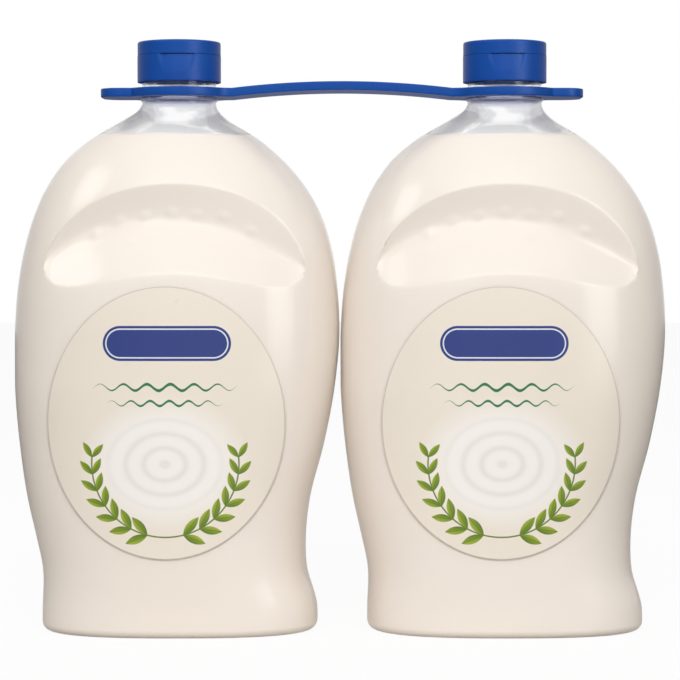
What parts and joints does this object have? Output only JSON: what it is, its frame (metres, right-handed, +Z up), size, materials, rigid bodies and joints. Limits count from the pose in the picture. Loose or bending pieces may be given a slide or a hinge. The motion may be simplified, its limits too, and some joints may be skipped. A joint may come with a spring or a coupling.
{
  "type": "hand soap refill pack",
  "caption": "Clear shouldered bottles of cream soap with flip-top screw caps, held at the necks by an arched carrier handle.",
  "frame": {"origin": "middle of the pack on the plane that both bottles stand on", "axes": "+X along the carrier handle from the left bottle to the right one, -Y the label side, +Z up"},
  "size_m": [0.3148, 0.0974, 0.2837],
  "materials": {
    "clear_plastic": "clear gloss",
    "cream_soap": "opaque cream liquid",
    "label_film": "printed film",
    "blue_plastic": "satin moulded",
    "liner_foam": "matt foam"
  },
  "bodies": {
    "carrier": {"carrier_handle": "blue_plastic"},
    "left_bottle": {"bottle_left": "clear_plastic", "soap_left": "cream_soap", "front_label_left": "label_film"},
    "left_liner": {"cap_liner_left": "liner_foam"},
    "left_cap": {"cap_base_left": "blue_plastic"},
    "left_lid": {"cap_lid_left": "blue_plastic"},
    "right_bottle": {"bottle_right": "clear_plastic", "soap_right": "cream_soap", "front_label_right": "label_film"},
    "right_liner": {"cap_liner_right": "liner_foam"},
    "right_cap": {"cap_base_right": "blue_plastic"},
    "right_lid": {"cap_lid_right": "blue_plastic"}
  },
  "joints": [
    {"name": "left_bottle_swivel", "type": "hinge", "parent": "carrier", "child": "left_bottle", "pos_m": [-0.07785, 0, 0.2588], "axis": [0, 0, 1], "range_deg": [-150, 150]},
    {"name": "left_cap_lift", "type": "slide", "parent": "left_bottle", "child": "left_liner", "axis": [0, 0, 1], "range_m": [0, 0.00636]},
    {"name": "left_cap_turn", "type": "hinge", "parent": "left_liner", "child": "left_cap", "pos_m": [-0.07785, 0, 0.27], "axis": [0, 0, 1], "range_deg": [0, 540]},
    {"name": "left_lid_open", "type": "hinge", "parent": "left_cap", "child": "left_lid", "pos_m": [-0.07785, 0.0208, 0.27705], "axis": [-1, 0, 0], "range_deg": [0, 150]},
    {"name": "right_bottle_swivel", "type": "hinge", "parent": "carrier", "child": "right_bottle", "pos_m": [0.07975, 0, 0.2588], "axis": [0, 0, 1], "range_deg": [-150, 150]},
    {"name": "right_cap_lift", "type": "slide", "parent": "right_bottle", "child": "right_liner", "axis": [0, 0, 1], "range_m": [0, 0.00636]},
    {"name": "right_cap_turn", "type": "hinge", "parent": "right_liner", "child": "right_cap", "pos_m": [0.07975, 0, 0.27], "axis": [0, 0, 1], "range_deg": [0, 540]},
    {"name": "right_lid_open", "type": "hinge", "parent": "right_cap", "child": "right_lid", "pos_m": [0.07975, 0.0208, 0.27705], "axis": [-1, 0, 0], "range_deg": [0, 150]}
  ],
  "couplings": [
    {"joint": "left_cap_lift", "follows": "left_cap_turn", "m_per_rad": 0.00067374},
    {"joint": "right_cap_lift", "follows": "right_cap_turn", "m_per_rad": 0.00067374}
  ]
}
